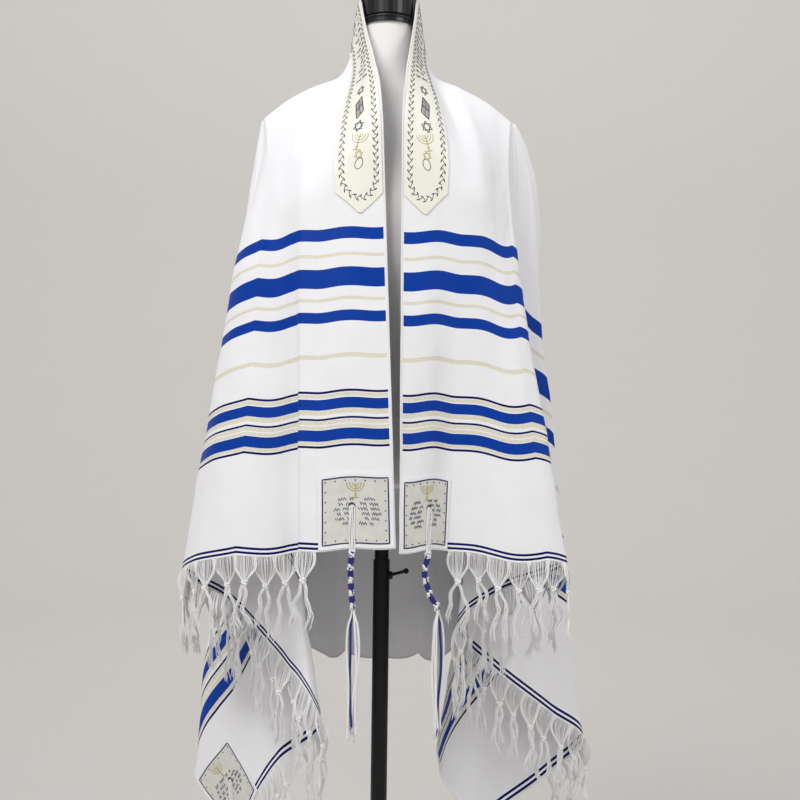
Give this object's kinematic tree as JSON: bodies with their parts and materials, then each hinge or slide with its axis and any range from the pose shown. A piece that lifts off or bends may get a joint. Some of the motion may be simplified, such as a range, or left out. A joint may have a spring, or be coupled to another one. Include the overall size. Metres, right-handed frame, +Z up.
{
  "type": "tallit prayer shawl on a dress form stand",
  "caption": "White woven prayer shawl with blue stripes, knotted fringe and corner tassels, draped open over a limbless dress form on a black telescoping pole stand.",
  "frame": {"origin": "centre of the base plate's underside, on the pole's axis", "axes": "+Z up along the pole, -Y the open front of the shawl, -X the viewer's left from the front"},
  "size_m": [0.5958, 0.3687, 1.6533],
  "materials": {
    "woven_cloth": "matte",
    "satin_band": "satin",
    "tassel_cord": "matte",
    "fringe_yarn": "matte",
    "form_jersey": "matte",
    "black_plastic": "satin",
    "white_plastic": "satin",
    "black_steel": "satin"
  },
  "bodies": {
    "stand": {"base_plate": "black_steel", "outer_tube": "black_steel", "clamp_boss": "black_steel"},
    "clamp": {"clamp_screw": "black_steel"},
    "form": {"shawl_front_left": "woven_cloth", "shawl_side_left": "woven_cloth", "shawl_back": "woven_cloth", "shawl_side_right": "woven_cloth", "shawl_front_right": "woven_cloth", "neckband": "satin_band", "patch_front_left": "satin_band", "patch_back_left": "satin_band", "patch_front_right": "satin_band", "patch_back_right": "satin_band", "tassel_front_left": "tassel_cord", "tassel_back_left": "tassel_cord", "tassel_front_right": "tassel_cord", "tassel_back_right": "tassel_cord", "fringe_left": "fringe_yarn", "fringe_right": "fringe_yarn", "form_torso": "form_jersey", "neck_cap": "black_plastic", "form_socket": "white_plastic", "inner_tube": "black_steel"}
  },
  "joints": [
    {"name": "height_slide", "type": "slide", "parent": "stand", "child": "form", "axis": [0, 0, 1], "range_m": [-0.05, 0.2]},
    {"name": "clamp_turn", "type": "hinge", "parent": "stand", "child": "clamp", "pos_m": [0.012, 0, 0.7935], "axis": [0.9659, 0, 0.2588], "range_deg": [0, 360]}
  ]
}
